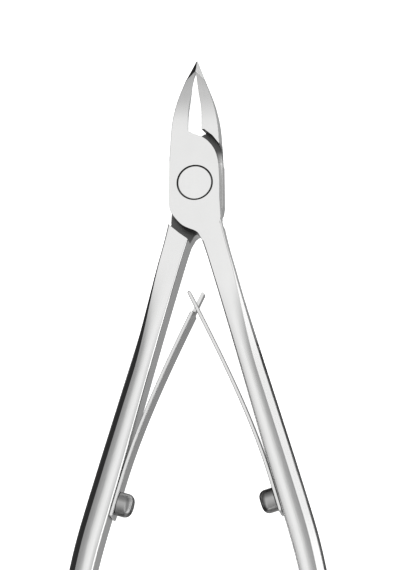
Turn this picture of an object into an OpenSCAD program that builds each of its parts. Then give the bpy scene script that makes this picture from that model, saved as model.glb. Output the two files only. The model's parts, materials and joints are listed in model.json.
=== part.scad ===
// Cuticle nipper: two lapped halves on one pivot pin, opened by a pair of crossed leaf springs.
// X runs across the jaws, Y from the handles to the tips, and Z through the thickness.
// The origin is on the pivot axis, in the flat back face that the nipper rests on.
// The jaws are modelled closed, with a hair of clearance between the cutting edges.

/* [Overall] */
// Distance from the pivot axis to the tips
tip_y = 26.5; // [24:0.5:32]
// Length of each handle along its own line, from the level of the pivot
handle_len = 100; // [90:1:120]
// Thickness of the joint and of the handles
body_t = 6.4; // [5.2:0.1:8]

/* [Joint] */
// Half of the width of the joint, to its wider side
joint_hw = 5.3; // [4.8:0.1:6.6]
// Reach of the joint plate above the pivot
plate_top = 9.4; // [8.8:0.1:10]
// Reach of the joint plate below the pivot
plate_low = 10.1; // [9.6:0.1:10.6]
// Room between a plate's upper curve and the shoulder of the other jaw
jaw_shoulder_gap = 1.1; // [0.8:0.1:1.4]
// Room between a plate's lower curve and the shoulder of the other handle
handle_shoulder_gap = 1.8; // [1.4:0.1:2.2]
// Running gap between the two lapped faces
lap_gap = 0.04; // [0.02:0.01:0.1]

/* [Pivot pin] */
// Diameter of the pin's shank
pin_d = 4.6; // [3.8:0.1:5.2]
// Diameter of the pin's flush head
head_d = 6.8; // [5.8:0.1:7.6]
// Thickness of the pin's head
head_t = 1.2; // [0.8:0.1:1.6]
// Radial clearance between the shank and the front half
running_clearance = 0.03; // [0.02:0.01:0.08]
// Width of the open ring around the head
head_ring = 0.25; // [0.1:0.01:0.3]
// Spread of the peened tail beyond the shank
tail_flare = 0.6; // [0.3:0.1:0.9]
// Depth of the peened tail
tail_t = 0.7; // [0.4:0.1:1]

/* [Jaws] */
// Half of the jaw opening behind the blades, measured at the front
throat_hw = 1.35; // [1:0.05:1.8]
// Distance from the tips back to the end of the cutting edges
edge_len = 2.8; // [2.6:0.1:4.2]
// How far each inner wall of the throat leans back towards the rear
throat_draft = 0.8; // [0:0.1:1.2]
// How far the front face has dropped at the tips
front_drop = 1.3; // [1.2:0.1:2.4]
// How far the back face has risen at the tips
back_rise = 2.6; // [1.4:0.1:2.6]
// Thickness left at the point of each tip
tip_t = 0.4; // [0.3:0.05:0.8]
// Slope of the cutting edge, seen from the side
edge_slope = 41; // [36:1:48]
// Roll of each ground facet about its cutting edge
facet_roll = 33; // [28:1:38]
// Gap between the two closed cutting edges
blade_gap = 0.04; // [0.02:0.01:0.1]

/* [Handles] */
// Angle between each handle and the long axis, jaws closed
handle_angle = 16.3; // [13:0.1:19]
// Distance from the long axis to each handle's line at the pivot's level
handle_lead = 0.35; // [0:0.05:0.8]
// Handle width where it leaves the joint
neck_w = 4.4; // [3.9:0.1:5]
// Handle width at the spring screws
grip_w = 5.4; // [4.9:0.1:6.4]
// Handle width near the end
end_w = 4.8; // [4.2:0.1:5.4]
// Place along the handle where it starts to curve inwards
bend_at = 72; // [70:1:78]
// Angle that the rear of the handle curves inwards
bend_angle = 12; // [6:1:18]
// Width of the ground bevel along the outer side
bevel_w = 1.7; // [1.2:0.1:2]
// Height of that bevel
bevel_h = 1.9; // [1.4:0.1:2.1]
// Broken edge on the flat stretches
edge_break = 0.2; // [0.1:0.05:0.3]

/* [Springs] */
// Thickness of the leaf springs
leaf_t = 0.7; // [0.5:0.05:0.9]
// Width of the leaf springs
leaf_w = 5; // [4.4:0.1:5.2]
// Place of the spring screws along the handle
screw_at = 66.3; // [65:0.1:69]
// Length of leaf that lies against the handle above the screw
leaf_seat = 3.4; // [3.4:0.1:5]
// Length of leaf below the screw
leaf_tail = 3.2; // [2.8:0.1:4]
// Height of the leaf tips, below the pivot
leaf_tip_y = 22.2; // [21:0.1:24]
// How far each leaf tip passes the long axis
leaf_cross = 1.4; // [1.1:0.1:1.8]
// Angle between each leaf's tip and the long axis
leaf_angle = 26; // [24:1:30]
// Width of the left leaf's tongue
tongue_w = 1.8; // [1.4:0.1:2.2]
// Clearance around the tongue in the right leaf's slot
slot_clearance = 0.3; // [0.2:0.05:0.4]
// Length of the right leaf's slot
slot_len = 4.2; // [3.8:0.1:4.6]

/* [Spring screws] */
// Diameter of the screw heads
screw_head_d = 4.8; // [4.2:0.1:5.2]
// Height of the screw heads
screw_head_t = 3; // [2:0.1:3.4]
// Radius around the top of the screw heads
screw_head_round = 1.4; // [0.8:0.1:1.6]
// Thread diameter of the screws
screw_d = 2.2; // [1.8:0.1:2.4]
// Length of thread inside the handle
screw_grip = 3.4; // [2.6:0.1:3.8]
// Width of the driver slot
driver_w = 0.6; // [0.4:0.1:0.8]
// Depth of the driver slot
driver_t = 0.7; // [0.4:0.1:0.9]

/* [Hidden] */
$fn = 64;
over = 1; // how far a cutter reaches past what it cuts
mid_z = body_t / 2;
tip = [0, tip_y, back_rise + tip_t];
taper_y = plate_top + 1.6; // where the jaws start to thin towards the tips
bend_r = (handle_len - bend_at) * 180 / (PI * bend_angle);
end_round = grip_w / 2;
crown_r = 7.3; // radius of the crown across the handles
hole_clearance = 0.1; // around the screw in the leaf
seat_gap = 0.03; // between a leaf and its handle
drill_room = 0.6; // left under the end of each spring screw
steel = [0.86, 0.86, 0.85];
bright_steel = [0.92, 0.92, 0.91];
spring_steel = [0.72, 0.72, 0.72];
dark_steel = [0.45, 0.45, 0.46];

function mix(a, b, k) = a + (b - a) * k;
function clamp01(x) = max(0, min(1, x));
function smooth(x) = let (t = clamp01(x)) t * t * (3 - 2 * t);

// A smooth curve through the points p, with n steps between each pair.
function through(p, n) = let (last = len(p) - 1) concat(
    [for (i = [0 : last - 1], s = [0 : n - 1])
        let (a = p[max(i - 1, 0)], b = p[i], c = p[i + 1], d = p[min(i + 2, last)], t = s / n)
        b + t * (c - a) / 2
          + t * t * (a - 2.5 * b + 2 * c - d / 2)
          + t * t * t * (1.5 * b - 1.5 * c + (d - a) / 2)],
    [p[last]]);

// Moves a point away from the pivot axis.
function outward(p, d) = p * (norm(p) + d) / norm(p);
function mirrored(p) = [for (q = p) [-q[0], q[1]]];
function reversed(p) = [for (i = [len(p) - 1 : -1 : 0]) p[i]];

// Skins a list of rings that all have n points.
function skin_faces(rings, n) = concat(
    [[for (i = [0 : n - 1]) i]],
    [for (r = [0 : rings - 2], i = [0 : n - 1])
        [r * n + i, (r + 1) * n + i, r * n + (i + 1) % n]],
    [for (r = [0 : rings - 2], i = [0 : n - 1])
        [(r + 1) * n + i, (r + 1) * n + (i + 1) % n, r * n + (i + 1) % n]],
    [[for (i = [n - 1 : -1 : 0]) (rings - 1) * n + i]]);

module skin(sections) {
    n = len(sections[0]);
    polyhedron([for (s = sections, p = s) p], skin_faces(len(sections), n));
}

// ---- Joint plates -------------------------------------------------------------------------

narrow_hw = joint_hw - 0.3;
jaw_root = 4.5; // where the full depth of a jaw starts above the pivot
handle_root = 8.5; // where the full depth of a handle starts below it

// Upper curve of a plate, from its narrow side over to the throat.
upper_arc = through([[narrow_hw, -2], [narrow_hw - 0.05, 1.2], [narrow_hw - 0.3, 4.3],
    [narrow_hw - 0.9, plate_top - 2.9], [narrow_hw - 2, plate_top - 1.2],
    [narrow_hw - 3.4, plate_top], [-0.4, plate_top + 0.85], [-throat_hw - 0.2, plate_top + 1.5]], 4);

// Lower curve of a plate, from the crotch round to its wide side.
lower_arc = through([[1.5, -plate_low - 1.9], [1, -plate_low - 1], [0.2, -plate_low],
    [-2.6, -plate_low + 1.4], [-joint_hw + 0.55, -plate_low + 4],
    [-joint_hw, -plate_low + 6]], 4);

// Outline of a plate. It runs on inside its jaw and its handle, which cover its ends there.
plate_outline = concat(
    upper_arc,
    [[-joint_hw + 1, plate_top + 1.5], [-joint_hw + 0.6, jaw_root + 0.6], [-joint_hw + 0.1, jaw_root]],
    reversed(lower_arc),
    [[2.6, -plate_low - 2.6], [4.6, -plate_low - 2.2], [narrow_hw - 0.1, -plate_low + 1]],
    through([[joint_hw - 0.06, -plate_low + 2.8], [narrow_hw, -plate_low + 6.5]], 4));

// Shoulders that the other half's plate turns past, cut into this half's jaw and handle.
jaw_shoulder = [
    for (q = [[narrow_hw - 0.3, 4.3, 0], [narrow_hw - 0.9, plate_top - 2.9, 0.5],
              [narrow_hw - 2, plate_top - 1.2, 0.5], [narrow_hw - 3.4, plate_top, 0.6]])
        outward([q[0], q[1]], jaw_shoulder_gap + q[2])];
handle_shoulder = [
    for (q = [[-joint_hw + 0.55, -plate_low + 3.6], [-2.6, -plate_low + 1.4], [-1.3, -plate_low + 0.3]])
        outward(q, handle_shoulder_gap)];

// Floor plan of the pocket under the front plate.
pocket_outline = concat(
    [[-2 * joint_hw, 4]],
    mirrored(jaw_shoulder),
    [[2 * joint_hw, plate_top + jaw_shoulder_gap], [2 * joint_hw, -4]],
    mirrored(handle_shoulder),
    [[0, -plate_low - 4], [-2 * joint_hw, -plate_low - 4]]);

// ---- Jaws ---------------------------------------------------------------------------------

// Half widths of the right jaw, at the front face, for a height y above the pivot.
jaw_outer_curve = through([[joint_hw, 2], [joint_hw - 0.2, 6], [joint_hw - 0.6, plate_top + 2.3],
    [joint_hw - 1.15, tip_y - 11.5], [joint_hw - 1.95, tip_y - 8.6],
    [joint_hw - 3.05, tip_y - 5.7], [joint_hw - 4.15, tip_y - 2.9], [0.12, tip_y]], 3);
jaw_inner_curve = through([[throat_hw, 2], [throat_hw, plate_top + 3], [throat_hw * 0.97, tip_y - 12],
    [throat_hw * 0.84, tip_y - 10.2], [throat_hw * 0.52, tip_y - 7.6],
    [0.16, tip_y - edge_len - 1], [blade_gap / 2, tip_y - edge_len], [blade_gap / 2, tip_y]], 3);

function width_at(curve, y) = lookup(y, [for (p = curve) [p[1], p[0]]]);
function front_z(y) = body_t - front_drop * pow(clamp01((y - taper_y) / (tip_y - taper_y)), 2);
function back_z(y) = back_rise * pow(clamp01((y - plate_top + 1) / (tip_y - plate_top + 1)), 2);

// One cross-section of the right jaw, inner edge first.
function jaw_section(y) = let (
        out = width_at(jaw_outer_curve, y),
        in = width_at(jaw_inner_curve, y),
        lean = min(throat_draft * smooth((tip_y - edge_len / 2 - y) / edge_len) + 0.02, (out - in) / 2),
        soft = min(0.7, (out - in) / 4))
    [[in, y, front_z(y)], [out, y, front_z(y)], [out, y, back_z(y) + soft],
     [out - soft, y, back_z(y)], [in + lean, y, back_z(y)]];

module right_jaw() {
    stations = concat([jaw_root, taper_y],
        [for (s = [1 : 22]) taper_y + (tip_y - taper_y) * s / 22]);
    difference() {
        skin([for (y = stations) jaw_section(y)]);
        // The ground facet that leaves the cutting edge.
        translate(tip) rotate([-edge_slope, 0, 0]) rotate([0, facet_roll, 0])
            translate([-tip_y, -tip_y, 0]) cube([2 * tip_y, 2 * tip_y, body_t + tip_y]);
    }
}

// ---- Handles ------------------------------------------------------------------------------

function heading(a) = handle_angle - max(0, a - bend_at) * 180 / (PI * bend_r);
function path(a) = let (s = min(a, bend_at), turn = heading(a))
    [handle_lead + s * sin(handle_angle) + bend_r * (cos(turn) - cos(handle_angle)),
     -s * cos(handle_angle) - bend_r * (sin(handle_angle) - sin(turn))];
function handle_w(a) = a < 16 ? neck_w + 1.2 * pow((16 - a) / 10, 2)
    : a < bend_at ? mix(neck_w, grip_w, smooth((a - 20) / (bend_at - 20)))
    : mix(grip_w, end_w, smooth((a - bend_at) / (handle_len - bend_at)));

// Front part of a handle's section, from its inner side to its outer side.
// full goes from 0 on the flat neck to 1 on the crowned and bevelled grip.
function half_section(w, full) = let (
        h = body_t / 2,
        e = edge_break,
        near = -w / 2 + mix(e, 0.3, full),
        far = w / 2 - mix(e, bevel_w, full),
        top = mix(near, far, 0.36),
        drop = function (x) full * pow(x - top, 2) / (2 * crown_r))
    concat(
        [[-w / 2, 0], [-w / 2, h - drop(near) - mix(e, 0.3, full)]],
        [for (k = [0 : 0.2 : 1]) let (x = mix(near, far, k)) [x, h - drop(x)]],
        [[w / 2 - mix(0, 0.45, full), h - drop(far) - mix(e, bevel_h, full)], [w / 2, 0]]);
function closed_section(front) = concat(
    [for (q = front) [q[0], -q[1]]],
    [for (i = [len(front) - 2 : -1 : 1]) front[i]]);

// One ring of the right handle at the distance a, drawn in by size at the rounded end.
function handle_ring(a, size) = let (c = path(a), t = heading(a))
    [for (q = closed_section(half_section(handle_w(a), smooth((a - 15) / 26))))
        [c[0] + size * q[0] * cos(t), c[1] + size * q[0] * sin(t), mid_z + size * q[1]]];

module right_handle() {
    near = [for (a = [handle_root : 3 : 40]) handle_ring(a, 1)];
    far = [for (a = [44 : 4 : handle_len - end_round - 1]) handle_ring(a, 1)];
    round_end = [for (t = [0 : 15 : 75])
        handle_ring(handle_len - end_round + end_round * sin(t), max(0.2, cos(t)))];
    cap = [handle_ring(handle_len, 0.12)];
    skin(concat(near, far, round_end, cap));
}

// Puts its children on the right handle at the distance a: local X points outwards from the
// middle of the handle, and local Y points along it towards the jaws.
module on_handle(a) {
    translate([path(a)[0], path(a)[1], mid_z]) rotate([0, 0, heading(a)]) children();
}

// ---- The two halves -----------------------------------------------------------------------

// The half whose plate lies in the front layer, or with front false the same half with its
// plate in the back layer. The jaw is on the left and the handle on the right.
module half(front) {
    pocket_z = front ? -over : mid_z - lap_gap / 2;
    difference() {
        // This resize changes no size. It makes the sculpted body one closed surface before drilling.
        resize([0, 0, 0]) difference() {
            union() {
                mirror([1, 0, 0]) right_jaw();
                right_handle();
                linear_extrude(body_t) polygon(plate_outline);
            }
            translate([0, 0, pocket_z]) linear_extrude(mid_z + lap_gap / 2 + over)
                polygon(pocket_outline);
        }
        on_handle(screw_at) translate([-handle_w(screw_at) / 2 - over, 0, 0]) rotate([0, 90, 0])
            cylinder(d = screw_d, h = over + screw_grip + drill_room);
    }
}

module front_half() {
    color(steel) difference() {
        half(true);
        translate([0, 0, -over]) cylinder(d = pin_d + 2 * running_clearance, h = body_t + 2 * over);
        translate([0, 0, body_t - head_t - lap_gap])
            cylinder(d = head_d + 2 * head_ring, h = head_t + lap_gap + over);
    }
}

module back_half() {
    color(steel) difference() {
        mirror([1, 0, 0]) half(false);
        translate([0, 0, -over]) cylinder(d = pin_d, h = body_t + 2 * over);
        cylinder(d1 = pin_d + 2 * tail_flare, d2 = pin_d, h = tail_t);
    }
}

module pivot_pin() {
    color(bright_steel) {
        cylinder(d1 = pin_d + 2 * tail_flare, d2 = pin_d, h = tail_t);
        cylinder(d = pin_d, h = body_t - head_t / 2);
        translate([0, 0, body_t - head_t]) cylinder(d = head_d, h = head_t);
    }
}

// ---- Leaf springs -------------------------------------------------------------------------

leaf_top = [-leaf_cross, -leaf_tip_y];
leaf_way = [-sin(leaf_angle), cos(leaf_angle)]; // direction of the leaf at its tip
bow = 14; // pull of the leaf's curve at each end
cross_back = leaf_cross / sin(leaf_angle); // from a leaf's tip back to the crossing
tongue_len = cross_back + 1.6;

// Half of the handle's width where the leaf lies against it, at the wider end.
leaf_base = handle_w(min(screw_at + leaf_tail, bend_at)) / 2;

// Middle line of the right leaf where it lies on its handle, and its free curve above that.
function seated(a) = let (off = leaf_base + leaf_t / 2 + seat_gap)
    path(a) - off * [cos(heading(a)), sin(heading(a))];
function free_curve(t) = let (
        p0 = seated(screw_at - leaf_seat),
        p1 = p0 + bow * [-sin(handle_angle), cos(handle_angle)],
        p3 = leaf_top,
        p2 = p3 - bow * leaf_way,
        u = 1 - t)
    u * u * u * p0 + 3 * u * u * t * p1 + 3 * u * t * t * p2 + t * t * t * p3;
leaf_line = concat([seated(screw_at + leaf_tail), seated(screw_at)],
    [for (i = [0 : 24]) free_curve(i / 24)]);

// The same line moved sideways by d.
function beside(line, d) = [for (i = [0 : len(line) - 1])
    let (way = line[min(i + 1, len(line) - 1)] - line[max(i - 1, 0)])
        line[i] + d * [way[1], -way[0]] / norm(way)];

module right_leaf() {
    difference() {
        translate([0, 0, mid_z - leaf_w / 2]) linear_extrude(leaf_w)
            polygon(concat(beside(leaf_line, leaf_t / 2), reversed(beside(leaf_line, -leaf_t / 2))));
        on_handle(screw_at) rotate([0, 90, 0]) translate([0, 0, -leaf_base - 2 * leaf_t])
            cylinder(d = screw_d + 2 * hole_clearance, h = 2 * leaf_t + over);
    }
}

// Puts its children at a leaf's tip, with local Y pointing on past the tip.
module at_leaf_tip() {
    translate([leaf_top[0], leaf_top[1], mid_z]) rotate([0, 0, leaf_angle]) children();
}

module left_spring() {
    color(spring_steel) mirror([1, 0, 0]) difference() {
        right_leaf();
        at_leaf_tip() for (side = [-1, 1])
            translate([-1.5, -tongue_len, side > 0 ? tongue_w / 2 : -tongue_w / 2 - leaf_w])
                cube([3, tongue_len + over, leaf_w]);
    }
}

module right_spring() {
    slot_w = tongue_w + 2 * slot_clearance;
    color(spring_steel) difference() {
        right_leaf();
        at_leaf_tip() translate([-1.5, -cross_back - slot_len / 2, -slot_w / 2])
            cube([3, slot_len, slot_w]);
    }
}

// ---- Spring screws ------------------------------------------------------------------------

// A screw on the right handle, its domed head towards the long axis.
module right_screw() {
    r = screw_head_d / 2;
    e = screw_head_round;
    on_handle(screw_at) translate([-leaf_base - leaf_t - 2 * seat_gap, 0, 0]) rotate([0, 90, 0]) {
        cylinder(d = screw_d, h = leaf_t + 2 * seat_gap + screw_grip);
        difference() {
            rotate([180, 0, 0]) rotate_extrude() {
                square([r, screw_head_t - e]);
                square([r - e, screw_head_t]);
                translate([r - e, screw_head_t - e]) intersection() {
                    circle(e);
                    square(e);
                }
            }
            translate([-driver_w / 2, -r - over, -screw_head_t - over])
                cube([driver_w, 2 * (r + over), driver_t + over]);
        }
    }
}

module left_spring_screw() {
    color(dark_steel) mirror([1, 0, 0]) right_screw();
}

module right_spring_screw() {
    color(dark_steel) right_screw();
}

front_half();
back_half();
pivot_pin();
left_spring();
right_spring();
left_spring_screw();
right_spring_screw();
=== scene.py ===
"""Cuticle nipper with two lapped halves, a flush pivot pin and a pair of crossed leaf springs.

Every piece is shaped in millimetres in the CAD frame and handed over in metres.
X runs across the jaws, Y from the handles to the tips, and Z through the thickness.
"""

from __future__ import annotations

import json
import logging
import math
import sys
from collections.abc import Callable, Iterator, Sequence
from contextlib import contextmanager
from dataclasses import dataclass, field
from enum import Enum

import bmesh
import bpy
import numpy as np
from mathutils import Matrix, Vector
from mathutils.bvhtree import BVHTree

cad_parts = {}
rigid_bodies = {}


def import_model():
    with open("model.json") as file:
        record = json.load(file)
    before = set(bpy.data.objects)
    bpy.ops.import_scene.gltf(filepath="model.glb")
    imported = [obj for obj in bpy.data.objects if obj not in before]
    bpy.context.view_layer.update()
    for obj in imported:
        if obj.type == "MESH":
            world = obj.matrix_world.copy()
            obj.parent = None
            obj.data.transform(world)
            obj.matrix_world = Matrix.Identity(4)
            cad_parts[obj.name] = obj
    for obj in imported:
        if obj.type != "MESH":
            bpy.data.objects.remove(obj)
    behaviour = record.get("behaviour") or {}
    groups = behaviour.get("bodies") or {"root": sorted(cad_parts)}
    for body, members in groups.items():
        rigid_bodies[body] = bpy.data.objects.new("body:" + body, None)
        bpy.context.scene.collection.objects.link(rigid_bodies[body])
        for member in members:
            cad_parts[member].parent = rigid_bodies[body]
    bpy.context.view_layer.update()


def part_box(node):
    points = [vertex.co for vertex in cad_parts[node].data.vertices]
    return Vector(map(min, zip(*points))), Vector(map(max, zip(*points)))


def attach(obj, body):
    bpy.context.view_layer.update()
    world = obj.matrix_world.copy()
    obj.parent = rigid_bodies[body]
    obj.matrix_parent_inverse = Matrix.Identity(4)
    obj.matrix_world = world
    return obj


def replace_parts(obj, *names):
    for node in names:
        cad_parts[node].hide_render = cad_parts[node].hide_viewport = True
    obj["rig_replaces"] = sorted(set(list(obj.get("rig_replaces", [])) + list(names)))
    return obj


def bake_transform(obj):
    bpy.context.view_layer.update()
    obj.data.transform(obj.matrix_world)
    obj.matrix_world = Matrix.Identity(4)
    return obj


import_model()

LOG = logging.getLogger("nipper")
MM = 0.001
Point = tuple[float, float]

SLIVER = 0.004  # length of an edge that is taken for a fault, in millimetres
FLAT_ANGLE = 0.05  # degrees between faces that count as one
EDGE_TRIES = 8  # tries at breaking the edges before they are left sharp
FIRST_ROOM = 4.0  # room left around a fault, in widths of a broken edge
WHITE = (1.0, 1.0, 1.0, 1.0)
MORE_ROOM = 1.6  # growth of that room from one try to the next


# ---- Shader graphs --------------------------------------------------------------------------


class Value:
    """A number that varies over a surface, so that masks can be written as arithmetic."""

    def __init__(self, graph: Graph, socket: bpy.types.NodeSocket) -> None:
        """Wraps one output socket.

        Args:
            graph: The graph that owns the socket.
            socket: The output that carries the number.
        """
        self.graph = graph
        self.socket = socket

    def _math(self, operation: str, *others: Value | float) -> Value:
        """Adds one Math node whose first input is this value."""
        settings = {"operation": operation}
        inputs = {i: other for i, other in enumerate((self, *others))}
        return self.graph.value(self.graph.node("ShaderNodeMath", settings, inputs))

    def __add__(self, other: Value | float) -> Value:
        """Sum."""
        return self._math("ADD", other)

    __radd__ = __add__

    def __sub__(self, other: Value | float) -> Value:
        """Difference."""
        return self._math("SUBTRACT", other)

    def __rsub__(self, other: float) -> Value:
        """Difference from a plain number."""
        return self * -1.0 + other

    def __mul__(self, other: Value | float) -> Value:
        """Product."""
        return self._math("MULTIPLY", other)

    __rmul__ = __mul__

    def greater(self, limit: float) -> Value:
        """One where the value is above the limit, and zero elsewhere."""
        return self._math("GREATER_THAN", limit)

    def root(self) -> Value:
        """Square root."""
        return self._math("SQRT")

    def turn(self, other: Value) -> Value:
        """Angle whose sine is this value and whose cosine is the other one, in radians."""
        return self._math("ARCTAN2", other)

    def rise(self, low: float, high: float) -> Value:
        """Smooth step.

        Args:
            low: Where the step starts, at zero.
            high: Where the step ends, at one.

        Returns:
            The step, from zero to one.
        """
        settings = {"interpolation_type": "SMOOTHSTEP"}
        node = self.graph.node("ShaderNodeMapRange", settings, {0: self, 1: low, 2: high})
        return self.graph.value(node)

    def blend(self, low: Value | float, high: Value | float) -> Value:
        """Goes from low to high as this value goes from zero to one."""
        return low + (high - low) * self


class Graph:
    """Builds the nodes of one material or of the world."""

    def __init__(self, tree: bpy.types.NodeTree) -> None:
        """Empties the tree that the nodes go in.

        Args:
            tree: The node tree of a material or of the world.
        """
        self.tree = tree
        tree.nodes.clear()

    def node(
        self,
        kind: str,
        settings: dict[str, object] | None = None,
        inputs: dict[int | str, object] | None = None,
    ) -> bpy.types.Node:
        """Adds a node.

        Args:
            kind: The node's type.
            settings: Properties that are set before anything is linked. "stops" is a ramp's
                list of (place, grey).
            inputs: Numbers, colours, values or sockets, by input name or index.

        Returns:
            The new node.
        """
        node = self.tree.nodes.new(kind)
        for name, setting in (settings or {}).items():
            if name == "stops":
                self._set_stops(node.color_ramp, setting)
            else:
                setattr(node, name, setting)
        for name, content in (inputs or {}).items():
            if isinstance(content, Value):
                content = content.socket
            if isinstance(content, bpy.types.NodeSocket):
                self.tree.links.new(content, node.inputs[name])
            else:
                node.inputs[name].default_value = content
        return node

    @staticmethod
    def _set_stops(ramp: bpy.types.ColorRamp, stops: Sequence[Point]) -> None:
        """Fills a ramp with grey stops."""
        ramp.interpolation = "EASE"
        for i, (place, grey) in enumerate(stops):
            element = ramp.elements[i] if i < 2 else ramp.elements.new(place)
            element.position = place
            element.color = (grey, grey, grey, 1.0)

    def value(self, node: bpy.types.Node, output: int | str = 0) -> Value:
        """Wraps one output of a node."""
        return Value(self, node.outputs[output])

    def place(self) -> tuple[Value, Value, Value]:
        """Returns X, Y and Z on the piece, in millimetres."""
        coords = self.node("ShaderNodeTexCoord")
        split = self.node("ShaderNodeSeparateXYZ", {}, {0: coords.outputs["Object"]})
        x, y, z = (self.value(split, i) * (1 / MM) for i in range(3))
        return x, y, z

    def vector(self, x: Value, y: Value, z: Value) -> bpy.types.NodeSocket:
        """Joins three values into a vector."""
        return self.node("ShaderNodeCombineXYZ", {}, {0: x, 1: y, 2: z}).outputs[0]

    def noise(self, where: bpy.types.NodeSocket, scale: float, detail: float = 2.0) -> Value:
        """Returns a noise from zero to one, sampled at a vector."""
        inputs = {"Vector": where, "Scale": scale, "Detail": detail}
        return self.value(self.node("ShaderNodeTexNoise", {}, inputs), "Fac")


# ---- Sizes ----------------------------------------------------------------------------------


@dataclass(frozen=True)
class Sizes:
    """Driving dimensions of the nipper, in millimetres and degrees."""

    tip_y: float = 26.5
    handle_len: float = 100.0
    body_t: float = 6.4
    joint_hw: float = 5.3
    plate_top: float = 9.4
    plate_low: float = 10.1
    jaw_shoulder_gap: float = 1.1
    handle_shoulder_gap: float = 1.8
    lap_gap: float = 0.04
    pin_d: float = 4.6
    head_d: float = 6.8
    head_t: float = 1.2
    running_clearance: float = 0.03
    head_ring: float = 0.25
    tail_flare: float = 0.6
    tail_t: float = 0.7
    throat_hw: float = 1.35
    edge_len: float = 2.8
    throat_draft: float = 0.8
    front_drop: float = 1.3
    back_rise: float = 2.6
    tip_t: float = 0.4
    edge_slope: float = 41.0
    facet_roll: float = 33.0
    blade_gap: float = 0.04
    handle_angle: float = 16.3
    handle_lead: float = 0.35
    neck_w: float = 4.4
    grip_w: float = 5.4
    end_w: float = 4.8
    bend_at: float = 72.0
    bend_angle: float = 12.0
    bevel_w: float = 1.7
    bevel_h: float = 1.9
    edge_break: float = 0.2
    crown_r: float = 7.3
    leaf_t: float = 0.7
    leaf_w: float = 5.0
    screw_at: float = 66.3
    leaf_seat: float = 3.4
    leaf_tail: float = 3.2
    leaf_tip_y: float = 22.2
    leaf_cross: float = 1.4
    leaf_angle: float = 26.0
    tongue_w: float = 1.8
    slot_clearance: float = 0.3
    slot_len: float = 4.2
    screw_head_d: float = 4.8
    screw_head_t: float = 3.0
    screw_head_round: float = 1.4
    screw_d: float = 2.2
    screw_grip: float = 3.4
    driver_w: float = 0.6
    driver_t: float = 0.7
    seat_gap: float = 0.03
    hole_clearance: float = 0.1
    drill_room: float = 0.6
    jaw_root: float = 4.5
    handle_root: float = 8.5
    leaf_bow: float = 14.0

    @property
    def mid_z(self) -> float:
        """Height of the lapped faces."""
        return self.body_t / 2

    @property
    def narrow_hw(self) -> float:
        """Half of the joint's width on a plate's narrow side."""
        return self.joint_hw - 0.3

    @property
    def taper_y(self) -> float:
        """Where the jaws start to thin towards the tips."""
        return self.plate_top + 1.6

    @property
    def angle(self) -> float:
        """Angle between a handle and the long axis, in radians."""
        return math.radians(self.handle_angle)

    @property
    def bend_r(self) -> float:
        """Radius of the handle's rear curve."""
        return (self.handle_len - self.bend_at) / math.radians(self.bend_angle)

    @property
    def bend_centre(self) -> Point:
        """Centre of the handle's rear curve."""
        s, c = math.sin(self.angle), math.cos(self.angle)
        return (
            self.handle_lead + self.bend_at * s - self.bend_r * c,
            -self.bend_at * c - self.bend_r * s,
        )

    @property
    def leaf_base(self) -> float:
        """Half of the handle's width where a leaf lies against it."""
        return self.handle_w(min(self.screw_at + self.leaf_tail, self.bend_at)) / 2

    @property
    def cross_back(self) -> float:
        """Distance from a leaf's tip back to the crossing."""
        return self.leaf_cross / math.sin(math.radians(self.leaf_angle))

    def heading(self, a: float) -> float:
        """Direction of the handle at the distance a along it, in radians."""
        return self.angle - max(0.0, a - self.bend_at) / self.bend_r

    def path(self, a: float) -> np.ndarray:
        """Point on the right handle's middle line at the distance a along it."""
        s, turn, bend = min(a, self.bend_at), self.heading(a), self.bend_r
        sine, cosine = math.sin(self.angle), math.cos(self.angle)
        return np.array([
            self.handle_lead + s * sine + bend * (math.cos(turn) - cosine),
            -s * cosine - bend * (sine - math.sin(turn)),
        ])

    def handle_w(self, a: float) -> float:
        """Width of a handle at the distance a along it."""
        if a < 16:
            return self.neck_w + 1.2 * ((16 - a) / 10) ** 2
        if a < self.bend_at:
            return mix(self.neck_w, self.grip_w, smooth((a - 20) / (self.bend_at - 20)))
        rear = smooth((a - self.bend_at) / (self.handle_len - self.bend_at))
        return mix(self.grip_w, self.end_w, rear)


def mix(a: float, b: float, k: float) -> float:
    """Goes from a to b as k goes from zero to one."""
    return a + (b - a) * k


def smooth(x: float) -> float:
    """Smooth step between zero and one."""
    t = min(1.0, max(0.0, x))
    return t * t * (3 - 2 * t)


SIZES = Sizes()


# ---- Mesh tools -----------------------------------------------------------------------------


def through(points: Sequence[Sequence[float]], steps: int) -> np.ndarray:
    """Draws a smooth curve through points.

    Args:
        points: The points that the curve passes through.
        steps: Number of pieces between each pair.

    Returns:
        The points of the curve.
    """
    p = np.array(points, float)
    last = len(p) - 1
    out = []
    for i in range(last):
        a, b, c, d = p[max(i - 1, 0)], p[i], p[i + 1], p[min(i + 2, last)]
        for s in range(steps):
            t = s / steps
            out.append(
                b + t * (c - a) / 2
                + t * t * (a - 2.5 * b + 2 * c - d / 2)
                + t**3 * (1.5 * b - 1.5 * c + (d - a) / 2)
            )
    return np.array([*out, p[last]])


def eased(
    line: Sequence[Sequence[float]], radii: dict[int, float], steps: int, closed: bool
) -> np.ndarray:
    """Rounds corners of a line.

    Args:
        line: The corners.
        radii: How far from its corner each rounding starts, by the corner's index.
        steps: Number of pieces in a rounding.
        closed: Whether the last corner joins the first.

    Returns:
        The points of the rounded line.
    """
    p = np.array(line, float)
    out: list[np.ndarray] = []
    for i, corner in enumerate(p):
        if i not in radii or (not closed and i in (0, len(p) - 1)):
            out.append(corner)
            continue
        before, after = p[i - 1] - corner, p[(i + 1) % len(p)] - corner
        lengths = np.linalg.norm(before), np.linalg.norm(after)
        reach = min(radii[i], 0.45 * lengths[0], 0.45 * lengths[1])
        start = corner + before * (reach / max(lengths[0], 1e-9))
        end = corner + after * (reach / max(lengths[1], 1e-9))
        for s in range(steps + 1):
            t = s / steps
            out.append((1 - t) ** 2 * start + 2 * t * (1 - t) * corner + t * t * end)
    return np.array(out)


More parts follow.
